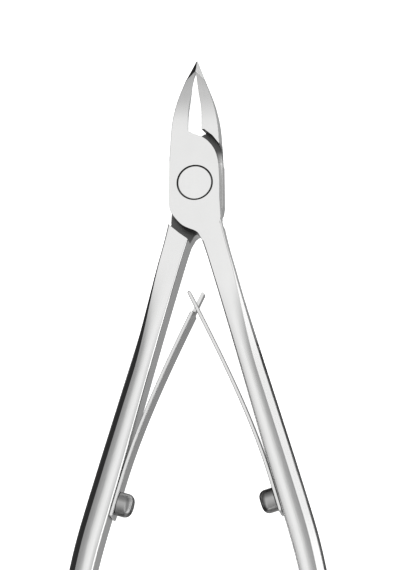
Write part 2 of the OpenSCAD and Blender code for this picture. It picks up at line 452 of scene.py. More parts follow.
class Solid:
    """A closed mesh in millimetres that can be joined to others, cut and edged."""

    def __init__(self, mesh: bpy.types.Mesh) -> None:
        """Takes over a mesh.

        Args:
            mesh: A closed mesh.
        """
        self.mesh = mesh

    @classmethod
    def of(cls, corners: Sequence[Sequence[float]], faces: Sequence[Sequence[int]]) -> Solid:
        """Makes a solid from corners and faces, and turns the faces outwards."""
        mesh = bpy.data.meshes.new("solid")
        mesh.from_pydata([tuple(map(float, c)) for c in corners], [], faces)
        solid = cls(mesh)
        with solid.editing() as bm:
            bmesh.ops.recalc_face_normals(bm, faces=bm.faces)
        return solid

    @contextmanager
    def editing(self) -> Iterator[bmesh.types.BMesh]:
        """Opens the mesh, and writes it back when the changes are done."""
        bm = bmesh.new()
        bm.from_mesh(self.mesh)
        yield bm
        bm.to_mesh(self.mesh)
        bm.free()

    @classmethod
    def loft(cls, rings: Sequence[np.ndarray]) -> Solid:
        """Skins closed rings that all have as many points."""
        n = len(rings[0])
        faces = [
            (r * n + i, r * n + (i + 1) % n, (r + 1) * n + (i + 1) % n, (r + 1) * n + i)
            for r in range(len(rings) - 1)
            for i in range(n)
        ]
        ends = [tuple(range(n)), tuple((len(rings) - 1) * n + i for i in range(n))]
        return cls.of(np.concatenate(rings), [*faces, *ends])

    @classmethod
    def prism(cls, outline: np.ndarray, low: float, high: float) -> Solid:
        """Raises a flat outline from one height to another."""
        return cls.loft([np.column_stack([outline, np.full(len(outline), z)]) for z in (low, high)])

    @classmethod
    def turned(cls, profile: Sequence[Point], steps: int = 160) -> Solid:
        """Turns a profile of (radius, height) points around the Z axis."""
        angles = np.arange(steps) * (2 * math.pi / steps)
        ring = np.column_stack([np.cos(angles), np.sin(angles)])
        return cls.loft([
            np.column_stack([ring * max(r, 1e-3), np.full(steps, z)]) for r, z in profile
        ])

    def _boolean(self, operation: str, other: Solid) -> None:
        """Joins the other solid to this one, or cuts it away."""
        scene = bpy.context.scene.collection.objects
        target, tool = (bpy.data.objects.new("solid", s.mesh) for s in (self, other))
        scene.link(target)
        scene.link(tool)
        change = target.modifiers.new("change", "BOOLEAN")
        change.operation, change.solver, change.object = operation, "MANIFOLD", tool
        graph = bpy.context.evaluated_depsgraph_get()
        self.mesh = bpy.data.meshes.new_from_object(target.evaluated_get(graph))
        self.mesh.materials.clear()
        for o in (target, tool):
            bpy.data.objects.remove(o)

    def join(self, *others: Solid) -> Solid:
        """Joins other solids to this one."""
        for other in others:
            self._boolean("UNION", other)
        return self

    def cut(self, *others: Solid) -> Solid:
        """Cuts other solids away from this one."""
        for other in others:
            self._boolean("DIFFERENCE", other)
        return self

    def move(self, matrix: Matrix) -> Solid:
        """Moves, turns or mirrors the solid, and keeps its faces outwards."""
        self.mesh.transform(matrix)
        if matrix.determinant() < 0:
            self.mesh.flip_normals()
        return self

    def slice_off(self, point: Sequence[float], normal: Vector) -> Solid:
        """Grinds away what lies beyond a plane.

        Args:
            point: A point in the plane.
            normal: Direction of the side that is removed.

        Returns:
            This solid.
        """
        with self.editing() as bm:
            everything = [*bm.verts, *bm.edges, *bm.faces]
            bmesh.ops.bisect_plane(
                bm, geom=everything, plane_co=point, plane_no=normal, clear_outer=True
            )
            bmesh.ops.holes_fill(bm, edges=[e for e in bm.edges if e.is_boundary])
            bmesh.ops.recalc_face_normals(bm, faces=bm.faces)
        return self

    def score(self, y: float) -> Solid:
        """Divides the faces along a line across the solid, without changing its shape."""
        with self.editing() as bm:
            everything = [*bm.verts, *bm.edges, *bm.faces]
            bmesh.ops.bisect_plane(bm, geom=everything, plane_co=(0, y, 0), plane_no=(0, 1, 0))
        return self

    def cleaned(self) -> Solid:
        """Removes slivers and the lines that cross flat faces."""
        with self.editing() as bm:
            bmesh.ops.remove_doubles(bm, verts=bm.verts, dist=SLIVER)
            bmesh.ops.dissolve_degenerate(bm, edges=bm.edges, dist=SLIVER)
            flat = math.radians(FLAT_ANGLE)
            bmesh.ops.dissolve_limit(bm, angle_limit=flat, verts=bm.verts, edges=bm.edges)
        return self

    def edged(self, width: float, sharpest: float = 38.0, segments: int = 2) -> Solid:
        """Cleans the solid and breaks its sharp edges.

        Edges next to a place where breaking them would pull a corner out of the surface stay
        as they are.

        Args:
            width: Width of each broken edge.
            sharpest: Angle in degrees above which an edge is broken.
            segments: Number of strips across a broken edge.

        Returns:
            This solid.
        """
        bm = bmesh.new()
        bm.from_mesh(self.cleaned().mesh)
        limit = math.radians(sharpest)
        sharp = {e for e in bm.edges if e.is_manifold and e.calc_face_angle() > limit}
        crowded = {
            v for e in bm.edges if e not in sharp and e.calc_length() < 2 * width for v in e.verts
        }
        roomy = [e for e in sharp if not crowded.intersection(e.verts)]
        bm.edges.index_update()
        surface = BVHTree.FromBMesh(bm)
        for attempt in range(EDGE_TRIES):
            trial = bm.copy()
            trial.edges.ensure_lookup_table()
            bmesh.ops.bevel(
                trial, geom=[trial.edges[e.index] for e in roomy], offset=width,
                offset_type="OFFSET", segments=segments, profile=0.5, affect="EDGES",
                clamp_overlap=False, loop_slide=True,
            )
            strays = [
                v.co.copy() for v in trial.verts if surface.find_nearest(v.co)[3] > width
            ]
            if not strays:
                LOG.info("%d of %d sharp edges broken", len(roomy), len(sharp))
                bm.free()
                bm = trial
                break
            trial.free()
            room = FIRST_ROOM * width * MORE_ROOM**attempt
            roomy = [e for e in roomy if all(self._reach(e, p) > room for p in strays)]
        bm.to_mesh(self.mesh)
        bm.free()
        return self

    @staticmethod
    def _reach(edge: bmesh.types.BMEdge, p: Vector) -> float:
        """Distance from a point to the nearer part of an edge."""
        a, b = (v.co for v in edge.verts)
        way = b - a
        t = min(1.0, max(0.0, (p - a).dot(way) / max(way.length_squared, 1e-12)))
        return (a + way * t - p).length

    def shaded(self, crease: float = 30.0) -> Solid:
        """Shades the faces smooth, with a crease at each edge sharper than the angle."""
        limit = math.radians(crease)
        with self.editing() as bm:
            for face in bm.faces:
                face.smooth = True
            for edge in bm.edges:
                edge.smooth = edge.is_manifold and edge.calc_face_angle() < limit
        return self

    def piece(self, name: str, materials: Sequence[bpy.types.Material]) -> bpy.types.Object:
        """Turns the solid into a scene object in metres.

        Args:
            name: The piece's name.
            materials: Its finishes, in slot order.

        Returns:
            The object.
        """
        for material in materials:
            self.mesh.materials.append(material)
        piece = bpy.data.objects.new(name, self.mesh)
        bpy.context.scene.collection.objects.link(piece)
        flatten = piece.modifiers.new("flatten", "WEIGHTED_NORMAL")
        flatten.mode, flatten.weight, flatten.keep_sharp = "FACE_AREA", 80, True
        flatten.thresh = 1e-5
        graph = bpy.context.evaluated_depsgraph_get()
        mesh = bpy.data.meshes.new_from_object(piece.evaluated_get(graph))
        piece.modifiers.clear()
        mesh.transform(Matrix.Scale(MM, 4))
        mesh.name = name
        piece.data = mesh
        return piece


# ---- Finishes -------------------------------------------------------------------------------


class Grain(Enum):
    """Which way the polishing lines of a finish run."""

    LONG_AXIS = "along the nipper"
    LEFT_HANDLE = "along the jaw, then along the left handle"
    RIGHT_HANDLE = "along the jaw, then along the right handle"
    ROUND_PIVOT = "around the pivot"


@dataclass(frozen=True)
class Steel:
    """A steel surface with polishing lines, soft smudges, a painted highlight along its edges, and
    for one finish painted shade in the crescents and the bore.
    """

    name: str
    grey: float
    roughness: float
    grain: Grain
    line_depth: float = 0.0006
    lines_per_mm: float = 7.0
    line_contrast: float = 0.05
    # Lightening of the colour along the edges: a painted highlight.
    painted_edge_highlight: float = 0.06
    tint: tuple[float, float, float] = (1.0, 1.0, 0.995)
    # Grey of the painted shade far into the crescents and the bore; zero for none.
    painted_shade_grey: float = 0.0

    def material(self) -> bpy.types.Material:
        """Builds the finish.

        Returns:
            The material.
        """
        material = bpy.data.materials.new(self.name)
        material.use_nodes = True
        graph = Graph(material.node_tree)
        x, y, z = graph.place()
        across, along = self._grain_lines(x, y)
        dense = self.lines_per_mm
        fine = graph.noise(graph.vector(across * dense, z * dense, along * 0.35), 1.0, 3.0)
        broad = graph.noise(graph.vector(across * 1.3, z * 1.3, along * 0.05), 1.0, 2.0)
        smudge = graph.noise(graph.vector(x, y, z), 0.22, 3.0)
        edge = self._edges(graph)
        streak = (fine - 0.5) * self.line_contrast + (broad - 0.5) * (self.line_contrast * 0.8)
        # Painted shade: far into the crescents and the bore the colour falls to a much darker grey.
        grey = self._shade(x, y).blend(self.grey, self.painted_shade_grey) if self.painted_shade_grey else self.grey
        # The edge term is a painted highlight; grey carries the painted shade.
        bright = streak + edge * self.painted_edge_highlight + (smudge - 0.5) * 0.03 + grey
        uneven = (fine - 0.5) * 0.10 + (broad - 0.5) * 0.06 + (smudge - 0.5) * 0.08
        dull = uneven - edge * 0.06 + self.roughness
        colour = graph.node(
            "ShaderNodeVectorMath", {"operation": "MULTIPLY"},
            {0: graph.vector(bright, bright, bright), 1: self.tint},
        ).outputs[0]
        bump = graph.node(
            "ShaderNodeBump", {},
            {"Strength": 1.0, "Distance": self.line_depth * MM, "Height": fine},
        )
        shader = graph.node(
            "ShaderNodeBsdfPrincipled", {},
            {"Base Color": colour, "Metallic": 1.0, "Roughness": dull, "Normal": bump.outputs[0]},
        )
        graph.node("ShaderNodeOutputMaterial", {}, {"Surface": shader.outputs[0]})
        return material

    @staticmethod
    def _shade(x: Value, y: Value) -> Value:
        """Returns a mask of painted shade, which is one far into the crescents and in the pin's
        bore.
        """
        bore = 1.0 - (x * x + y * y).root().rise(3.8, 4.2)
        return y.rise(5.0, 7.4) + (y * -1.0).rise(4.8, 6.4) + bore

    @staticmethod
    def _edges(graph: Graph) -> Value:
        """Returns a mask that is one on the edges, where the colour gets a painted highlight and
        wear from hands and polishing lowers the roughness.
        """
        soft = graph.node("ShaderNodeBevel", {"samples": 4}, {"Radius": 0.12 * MM})
        plain = graph.node("ShaderNodeNewGeometry")
        dot = graph.node(
            "ShaderNodeVectorMath", {"operation": "DOT_PRODUCT"},
            {0: soft.outputs[0], 1: plain.outputs["Normal"]},
        )
        return (1.0 - graph.value(dot, "Value")).rise(0.01, 0.2)

    def _grain_lines(self, x: Value, y: Value) -> tuple[Value, Value]:
        """Returns how far a point is across the polishing lines and along them."""
        if self.grain is Grain.LONG_AXIS:
            return x, y
        if self.grain is Grain.ROUND_PIVOT:
            radius = (x * x + y * y).root()
            return radius, x.turn(y) * 3.0
        side = 1.0 if self.grain is Grain.RIGHT_HANDLE else -1.0
        s, c = math.sin(SIZES.angle), math.cos(SIZES.angle)
        out = x * side - SIZES.handle_lead
        along, across = out * s - y * c, out * c + y * s
        centre_x, centre_y = SIZES.bend_centre
        dx, dy = x * side - centre_x, y - centre_y
        rear_across = (dx * dx + dy * dy).root() - SIZES.bend_r
        rear_along = (SIZES.angle - dy.turn(dx)) * SIZES.bend_r + SIZES.bend_at
        rear = along.greater(SIZES.bend_at)
        handle = (y * -1.0).rise(6.0, 14.0)
        across, along = rear.blend(across, rear_across), rear.blend(along, rear_along)
        return handle.blend(x * side, across), handle.blend(y * -1.0, along)


@dataclass
class Finishes:
    """The finishes that the pieces share."""

    front_body: bpy.types.Material = field(init=False)
    back_body: bpy.types.Material = field(init=False)
    recess: bpy.types.Material = field(init=False)
    blade: bpy.types.Material = field(init=False)
    pin: bpy.types.Material = field(init=False)
    spring: bpy.types.Material = field(init=False)
    screw: bpy.types.Material = field(init=False)

    def __post_init__(self) -> None:
        """Builds each finish once."""
        self.front_body = Steel("satin_steel_front", 0.62, 0.2, Grain.RIGHT_HANDLE).material()
        self.back_body = Steel("satin_steel_back", 0.62, 0.2, Grain.LEFT_HANDLE).material()
        # The recess finish turns nearly black far into the crescents and the bore, as painted
        # shade.
        self.recess = Steel(
            "milled_recess", 0.55, 0.32, Grain.ROUND_PIVOT, 0.0012, 5.0, 0.04, 0.08, painted_shade_grey=0.09
        ).material()
        self.blade = Steel("ground_blade", 0.6, 0.22, Grain.LONG_AXIS, 0.0006, 9.0, 0.05).material()
        self.pin = Steel("satin_pin", 0.625, 0.2, Grain.LONG_AXIS, 0.0005, 8.0, 0.03).material()
        self.spring = Steel(
            "blued_spring", 0.62, 0.26, Grain.LONG_AXIS, 0.0008, 6.0, 0.05
        ).material()
        self.screw = Steel("dark_screw", 0.34, 0.3, Grain.LONG_AXIS, 0.0008, 6.0, 0.05).material()


# ---- The two halves -------------------------------------------------------------------------


class Side(Enum):
    """Which layer of the joint a half's plate lies in."""

    FRONT = "front"
    BACK = "back"


def outward(p: Sequence[float], distance: float) -> np.ndarray:
    """Moves a point away from the pivot axis."""
    p = np.array(p, float)
    return p * (1 + distance / np.linalg.norm(p))


@dataclass
class Jaw:
    """The right jaw, hollowed at the throat and ground to a cutting edge."""

    sizes: Sizes
    stations: int = 76
    corner: float = 0.14
    outward_fall: float = 0.07

    def outer_curve(self) -> np.ndarray:
        """Half widths to the outer side, with their heights."""
        z = self.sizes
        hw, tip = z.joint_hw, z.tip_y
        return through([
            (hw, 2), (hw - 0.2, 6), (hw - 0.6, z.plate_top + 2.3), (hw - 1.15, tip - 11.5),
            (hw - 1.95, tip - 8.6), (hw - 3.05, tip - 5.7), (hw - 4.15, tip - 2.9), (0.12, tip),
        ], 12)

    def inner_curve(self) -> np.ndarray:
        """Half widths to the throat and the cutting edge, with their heights."""
        z = self.sizes
        throat, tip = z.throat_hw, z.tip_y
        return through([
            (throat, 2), (throat, z.plate_top + 3), (throat * 0.97, tip - 12),
            (throat * 0.84, tip - 10.2), (throat * 0.52, tip - 7.6), (0.16, tip - z.edge_len - 1),
            (z.blade_gap / 2, tip - z.edge_len), (z.blade_gap / 2, tip),
        ], 12)

    def section(self, y: float, outer: np.ndarray, inner: np.ndarray) -> np.ndarray:
        """Returns one closed cross-section at a height y above the pivot."""
        z = self.sizes
        out = float(np.interp(y, outer[:, 1], outer[:, 0]))
        near = float(np.interp(y, inner[:, 1], inner[:, 0]))
        thin = min(1.0, max(0.0, (y - z.taper_y) / (z.tip_y - z.taper_y)))
        front = z.body_t - z.front_drop * thin**2
        rise = (y - z.plate_top + 1) / (z.tip_y - z.plate_top + 1)
        back = z.back_rise * min(1.0, max(0.0, rise)) ** 2
        draft = z.throat_draft * smooth((z.tip_y - z.edge_len / 2 - y) / z.edge_len)
        lean = min(draft + 0.02, (out - near) / 2)
        soft = min(0.7, (out - near) / 4)
        fall = self.outward_fall * (out - near) * smooth((y - z.taper_y - 2) / 6)
        corners = [
            (near, front), (out, front - fall), (out, back + soft), (out - soft, back),
            (near + lean, back),
        ]
        radii = {0: self.corner * 0.5, 1: self.corner, 2: 0.5, 3: 0.5, 4: self.corner * 0.5}
        ring = eased(corners, radii, 4, closed=True)
        return np.column_stack([ring[:, 0], np.full(len(ring), y), ring[:, 1]])

    def facet_normal(self) -> Vector:
        """Direction that the ground facet faces on the right jaw."""
        slope = Matrix.Rotation(math.radians(-self.sizes.edge_slope), 3, "X")
        roll = Matrix.Rotation(math.radians(self.sizes.facet_roll), 3, "Y")
        return slope @ roll @ Vector((0, 0, 1))

    def solid(self) -> Solid:
        """Builds the right jaw."""
        z = self.sizes
        outer, inner = self.outer_curve(), self.inner_curve()
        heights = np.linspace(z.jaw_root, z.tip_y, self.stations)
        blank = Solid.loft([self.section(y, outer, inner) for y in heights])
        return blank.slice_off((0, z.tip_y, z.back_rise + z.tip_t), self.facet_normal())


@dataclass
class Handle:
    """The right handle, flat at the neck, then crowned in front with a bevel outside."""

    sizes: Sizes
    step: float = 1.0
    inner_break: float = 0.3
    outer_lean: float = 0.45
    crown_peak: float = 0.36

    def half_section(self, w: float, full: float) -> np.ndarray:
        """Front part of a section, from its inner side to its outer side.

        Args:
            w: Width of the handle there.
            full: From zero on the flat neck to one on the crowned and bevelled grip.

        Returns:
            Points of (outwards, forwards).
        """
        z = self.sizes
        h, e = z.body_t / 2, z.edge_break
        near = -w / 2 + mix(e, self.inner_break, full)
        far = w / 2 - mix(e, z.bevel_w, full)
        top = mix(near, far, self.crown_peak)
        crown = [
            (x, h - full * (x - top) ** 2 / (2 * z.crown_r)) for x in np.linspace(near, far, 25)
        ]
        line = [
            (-w / 2, 0), (-w / 2, crown[0][1] - mix(e, self.inner_break, full)), *crown,
            (w / 2 - mix(0, self.outer_lean, full), crown[-1][1] - mix(e, z.bevel_h, full)),
            (w / 2, 0),
        ]
        last = len(line) - 1
        return eased(line, {1: 0.2, 2: 0.2, last - 2: 0.12, last - 1: 0.3}, 4, closed=False)

    def ring(self, a: float, size: float) -> np.ndarray:
        """Section at the distance a, drawn in by size at the rounded end."""
        front = self.half_section(self.sizes.handle_w(a), smooth((a - 15) / 26))
        back = front[-2:0:-1] * (1, -1)
        section = np.concatenate([front, back]) * size
        centre, turn = self.sizes.path(a), self.sizes.heading(a)
        return np.column_stack([
            centre[0] + section[:, 0] * math.cos(turn),
            centre[1] + section[:, 0] * math.sin(turn),
            self.sizes.mid_z + section[:, 1],
        ])

    def solid(self) -> Solid:
        """Builds the right handle."""
        z = self.sizes
        end_round = z.grip_w / 2
        straight = np.arange(z.handle_root, z.handle_len - end_round, self.step)
        rings = [self.ring(a, 1) for a in straight]
        for t in np.radians(np.arange(0, 85, 6)):
            a = z.handle_len - end_round * (1 - math.sin(t))
            rings.append(self.ring(a, max(0.12, math.cos(t))))
        rings.append(self.ring(z.handle_len, 0.06))
        return Solid.loft(rings)


@dataclass
class Plate:
    """The lapped joint plate, with the pocket that the other half's plate turns in."""

    sizes: Sizes
    steps: int = 14

    def upper_arc(self) -> np.ndarray:
        """Upper curve, from the narrow side over to the throat."""
        n, top = self.sizes.narrow_hw, self.sizes.plate_top
        return through([
            (n, -2), (n - 0.05, 1.2), (n - 0.3, 4.3), (n - 0.9, top - 2.9), (n - 2, top - 1.2),
            (n - 3.4, top), (-0.4, top + 0.85), (-self.sizes.throat_hw - 0.2, top + 1.5),
        ], self.steps)

    def lower_arc(self) -> np.ndarray:
        """Lower curve, from the crotch round to the wide side."""
        w, low = self.sizes.joint_hw, self.sizes.plate_low
        return through([
            (1.5, -low - 1.9), (1, -low - 1), (0.2, -low), (-2.6, -low + 1.4),
            (-w + 0.55, -low + 4), (-w, -low + 6),
        ], self.steps)

    def outline(self) -> np.ndarray:
        """Whole outline of the plate, which runs on inside the jaw and the handle."""
        z = self.sizes
        w, n, low, top = z.joint_hw, z.narrow_hw, z.plate_low, z.plate_top
        return np.concatenate([
            self.upper_arc(),
            [(-w + 1, top + 1.5), (-w + 0.6, z.jaw_root + 0.6), (-w + 0.1, z.jaw_root)],
            self.lower_arc()[::-1],
            [(2.6, -low - 2.6), (4.6, -low - 2.2), (n - 0.1, -low + 1)],
            through([(w - 0.06, -low + 2.8), (n, -low + 6.5)], self.steps),
        ])

    def jaw_shoulder(self) -> np.ndarray:
        """Wall at the root of the jaw that the other plate turns past."""
        n, top, gap = self.sizes.narrow_hw, self.sizes.plate_top, self.sizes.jaw_shoulder_gap
        return np.array([
            outward(p, gap + extra) for p, extra in (
                ((n - 0.3, 4.3), 0), ((n - 0.9, top - 2.9), 0.5),
                ((n - 2, top - 1.2), 0.5), ((n - 3.4, top), 0.6))
        ])

    def handle_shoulder(self) -> np.ndarray:
        """Wall at the neck of the handle that the other plate turns past."""
        w, low = self.sizes.joint_hw, self.sizes.plate_low
        line = ((-w + 0.55, -low + 3.6), (-2.6, -low + 1.4), (-1.3, -low + 0.3))
        return np.array([outward(p, self.sizes.handle_shoulder_gap) for p in line])

    def pocket(self) -> np.ndarray:
        """Floor plan of the pocket."""
        z = self.sizes
        far = 2 * z.joint_hw
        flip = (-1, 1)
        return np.concatenate([
            [(-far, 4)],
            self.jaw_shoulder() * flip,
            [(far, z.plate_top + z.jaw_shoulder_gap), (far, -4)],
            self.handle_shoulder() * flip,
            [(0, -z.plate_low - 4), (-far, -z.plate_low - 4)],
        ])


@dataclass
class Half:
    """One half of the nipper: a jaw, a lapped plate and the handle on the other side."""

    sizes: Sizes
    side: Side
    over: float = 1.0
    broken_edge: float = 0.05
    crescent: float = 4.8
    near_wall: float = 0.12
    near_lap: float = 0.4

    def build(self, finishes: Finishes) -> bpy.types.Object:
        """Builds the half, dresses it and puts it in place of its CAD node.

        Args:
            finishes: The shared finishes.

        Returns:
            The piece.
        """
        z, front = self.sizes, self.side is Side.FRONT
        plate = Plate(z)
        mirror = Matrix.Diagonal((-1, 1, 1, 1))
        body = Jaw(z).solid().move(mirror)
        body.join(Handle(z).solid(), Solid.prism(plate.outline(), 0, z.body_t))
        low = -self.over if front else z.mid_z - z.lap_gap / 2
        body.cut(Solid.prism(plate.pocket(), low, low + z.mid_z + z.lap_gap / 2 + self.over))
        body.cut(self._screw_hole())
        if not front:
            body.move(mirror)
        body.cut(self._bore())
        body.edged(self.broken_edge).score(self.crescent).score(-self.crescent).shaded()
        self._assign(body, plate, front)
        name = f"{self.side.value}_half"
        piece = body.piece(
            f"{name}_body",
            [finishes.front_body if front else finishes.back_body, finishes.recess, finishes.blade],
        )
        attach(piece, self.side.value)
        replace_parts(piece, name)
        return piece

    def _screw_hole(self) -> Solid:
        """Hole for the spring screw, in the right handle."""
        z = self.sizes
        depth = z.handle_w(z.screw_at) / 2
        r, end = z.screw_d / 2, z.screw_grip - depth + z.drill_room
        hole = Solid.turned([(r, -depth - self.over), (r, end)], 48)
        return hole.move(handle_frame(z, z.screw_at) @ Matrix.Rotation(math.pi / 2, 4, "Y"))

    def _bore(self) -> Solid:
        """Bore for the pivot pin: stepped for the head in front, flared for the tail behind."""
        z = self.sizes
        if self.side is Side.FRONT:
            r, head = z.pin_d / 2 + z.running_clearance, z.head_d / 2 + z.head_ring
            floor = z.body_t - z.head_t - z.lap_gap
            front = z.body_t + self.over
            return Solid.turned([(r, -self.over), (r, floor), (head, floor), (head, front)])
        r = z.pin_d / 2
        return Solid.turned([
            (r + z.tail_flare, -self.over), (r + z.tail_flare, 0), (r, z.tail_t),
            (r, z.body_t + self.over),
        ])

    def _assign(self, body: Solid, plate: Plate, front: bool) -> None:
        """Gives each face its finish: body steel, the milled recess with its painted shade, or
        ground blade.
        """
        z = self.sizes
        facet = Jaw(z).facet_normal()
        flip = 1 if front else -1
        facet.x *= -flip
        # Shoulder walls, and on the front half the plate's rims, take the recess finish and so its
        # painted shade.
        walls = [plate.jaw_shoulder() * (-1, 1), plate.handle_shoulder() * (-1, 1)]
        if front:
            walls += [plate.lower_arc(), plate.upper_arc()[2 * plate.steps + plate.steps // 2:]]
        for face in body.mesh.polygons:
            c, n = face.center, face.normal
            at = np.array([c.x * flip, c.y])
            level = abs(n.z) > 0.9 and abs(c.z - z.mid_z) < self.near_lap
            lap = level and abs(c.y) > self.crescent
            upright = abs(n.z) < 0.5
            inside = math.hypot(c.x, c.y) < z.head_d / 2 + 0.4 and 0.02 < c.z < z.body_t - 0.2
            bore = inside and (upright or abs(c.z - z.mid_z) > self.near_lap)
            wall = upright and any(near_line(at, line) < self.near_wall for line in walls)
            if lap or bore or wall:
                face.material_index = 1
            elif n.dot(facet) > 0.999:
                face.material_index = 2


def near_line(p: np.ndarray, line: np.ndarray) -> float:
    """Distance from a point to an open line."""
    a, b = line[:-1], line[1:]
    way = b - a
    t = np.clip(((p - a) * way).sum(1) / (way * way).sum(1), 0, 1)
    return float(np.linalg.norm(a + way * t[:, None] - p, axis=1).min())


def handle_frame(sizes: Sizes, a: float) -> Matrix:
    """Frame on the right handle at the distance a: X outwards, Y towards the jaws."""
    x, y = sizes.path(a)
    return Matrix.Translation((x, y, sizes.mid_z)) @ Matrix.Rotation(sizes.heading(a), 4, "Z")


# ---- Pivot pin ------------------------------------------------------------------------------


@dataclass
class PivotPin:
    """The pin with its flush head in front and its peened tail behind."""

    sizes: Sizes
    head_break: float = 0.15
    tail_break: float = 0.08

    def build(self, finishes: Finishes) -> bpy.types.Object:
        """Builds the pin and puts it in place of its CAD node."""
        z = self.sizes
        r, head, e, t = z.pin_d / 2, z.head_d / 2, self.head_break, self.tail_break
        tail, front = r + z.tail_flare, z.body_t
        profile = [
            (0, 0), (tail - t, 0), (tail - 0.3 * t, 0.3 * t), (tail - t, t), (r, z.tail_t),
            (r, front - z.head_t), (head, front - z.head_t), (head, front - e),
            (head - 0.3 * e, front - 0.3 * e), (head - e, front), (0, front),
        ]
        piece = Solid.turned(profile, 192).shaded(25).piece("pivot_pin_body", [finishes.pin])
        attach(piece, "back")
        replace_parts(piece, "pivot_pin")
        return piece


# ---- Leaf springs ---------------------------------------------------------------------------


class Hand(Enum):
    """Left or right, seen from the front."""

    LEFT = -1
    RIGHT = 1


@dataclass
class LeafSpring:
    """A leaf spring, screwed to its handle and crossing the other leaf at its tip."""

    sizes: Sizes
    hand: Hand
    corner: float = 0.2
    free_steps: int = 90

    def line(self) -> np.ndarray:
        """Middle line of the right leaf, from below the screw to the tip."""
        z = self.sizes
        off = z.leaf_base + z.leaf_t / 2 + z.seat_gap
        seat = [
            z.path(a) - off * np.array([math.cos(z.heading(a)), math.sin(z.heading(a))])
            for a in np.linspace(z.screw_at + z.leaf_tail, z.screw_at - z.leaf_seat, 12)
        ]
        start, tip = seat[-1], np.array([-z.leaf_cross, -z.leaf_tip_y])
        angle = math.radians(z.leaf_angle)
        p1 = start + z.leaf_bow * np.array([-math.sin(z.angle), math.cos(z.angle)])
        p2 = tip - z.leaf_bow * np.array([-math.sin(angle), math.cos(angle)])
        free = []
        for t in np.linspace(0, 1, self.free_steps + 1)[1:]:
            u = 1 - t
            free.append(u**3 * start + 3 * u * u * t * p1 + 3 * u * t * t * p2 + t**3 * tip)
        return np.array([*seat, *free])

    def strip(self) -> Solid:
        """The plain strip, rounded along its edges and at both ends."""
        z = self.sizes
        line = self.line()
        way = np.gradient(line, axis=0)
        way /= np.linalg.norm(way, axis=1)[:, None]
        side = np.column_stack([way[:, 1], -way[:, 0]])
        run = np.concatenate([[0], np.cumsum(np.linalg.norm(np.diff(line, axis=0), axis=1))])
        h, w, end = z.leaf_t / 2, z.leaf_w / 2, z.leaf_t / 2
        corners = [(-h, -w), (h, -w), (h, w), (-h, w)]
        section = eased(corners, {i: self.corner for i in range(4)}, 4, closed=True)
        places = np.concatenate([
            end * (1 - np.cos(np.radians(np.arange(6, 90, 14)))),
            run[(run > end) & (run < run[-1] - end)],
            run[-1] - end * (1 - np.cos(np.radians(np.arange(6, 90, 14))))[::-1],
        ])
        rings = []
        for s in places:
            p = np.array([np.interp(s, run, line[:, k]) for k in (0, 1)])
            n = np.array([np.interp(s, run, side[:, k]) for k in (0, 1)])
            inset = max(0.0, 1 - min(s, run[-1] - s) / end)
            thin = math.sqrt(max(0.02, 1 - inset**2))
            trim = end * (1 - thin) * 0.6
            q = section * (thin, 1 - trim / w)
            rings.append(np.column_stack([p + q[:, :1] * n, z.mid_z + q[:, 1]]))
        return Solid.loft(rings)

    def at_tip(self) -> Matrix:
        """Frame at the right leaf's tip, with Y pointing on past it."""
        z = self.sizes
        place = Matrix.Translation((-z.leaf_cross, -z.leaf_tip_y, z.mid_z))
        return place @ Matrix.Rotation(math.radians(z.leaf_angle), 4, "Z")

    def window(self, y: Point, height: Point, corner: float) -> Solid:
        """A cutter through the leaf, with rounded corners.

        Args:
            y: Where it starts and ends, from the tip.
            height: Its lowest and highest level from the middle of the leaf's width.
            corner: Radius of its corners.

        Returns:
            The cutter, in place at the tip.
        """
        outline = [(y[0], height[0]), (y[1], height[0]), (y[1], height[1]), (y[0], height[1])]
        rounded = eased(outline, {i: corner for i in range(4)}, 6, closed=True)
        rings = [np.column_stack([np.full(len(rounded), x), rounded]) for x in (-1.5, 1.5)]
        return Solid.loft(rings).move(self.at_tip())

    def build(self, finishes: Finishes) -> bpy.types.Object:
        """Builds the leaf and puts it in place of its CAD node."""
        z = self.sizes
        leaf = self.strip()
        hole_r = z.screw_d / 2 + z.hole_clearance
        hole = Solid.turned([(hole_r, -z.leaf_base - 2 * z.leaf_t), (hole_r, -z.leaf_base + 1)], 48)
        leaf.cut(hole.move(handle_frame(z, z.screw_at) @ Matrix.Rotation(math.pi / 2, 4, "Y")))
        if self.hand is Hand.LEFT:
            back = -z.cross_back - 1.6
            half, far = z.tongue_w / 2, z.leaf_w
            for height in ((half, far), (-far, -half)):
                leaf.cut(self.window((back, 2), height, 0.7))
            leaf.move(Matrix.Diagonal((-1, 1, 1, 1)))
        else:
            half = z.tongue_w / 2 + z.slot_clearance
            ends = (-z.cross_back - z.slot_len / 2, -z.cross_back + z.slot_len / 2)
            leaf.cut(self.window(ends, (-half, half), 0.5))
        name = f"{self.hand.name.lower()}_spring"
        piece = leaf.cleaned().shaded(40).piece(f"{name}_leaf", [finishes.spring])
        self._bend(piece)
        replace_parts(piece, name)
        return piece

    def _bend(self, piece: bpy.types.Object) -> None:
        """Bakes the leaf's placement into its mesh; the points that its flexing would run between
        are worked out but not used.
        """
        z = self.sizes
        start = z.path(z.screw_at - z.leaf_seat) - (z.leaf_base, 0)
        tip = np.array([-z.leaf_cross, -z.leaf_tip_y])
        end = start + 2 * (tip - start)
        flip = self.hand.value
        places = [(p[0] * flip * MM, p[1] * MM, z.mid_z * MM) for p in (start, end)]
        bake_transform(piece)


# ---- Spring screws --------------------------------------------------------------------------


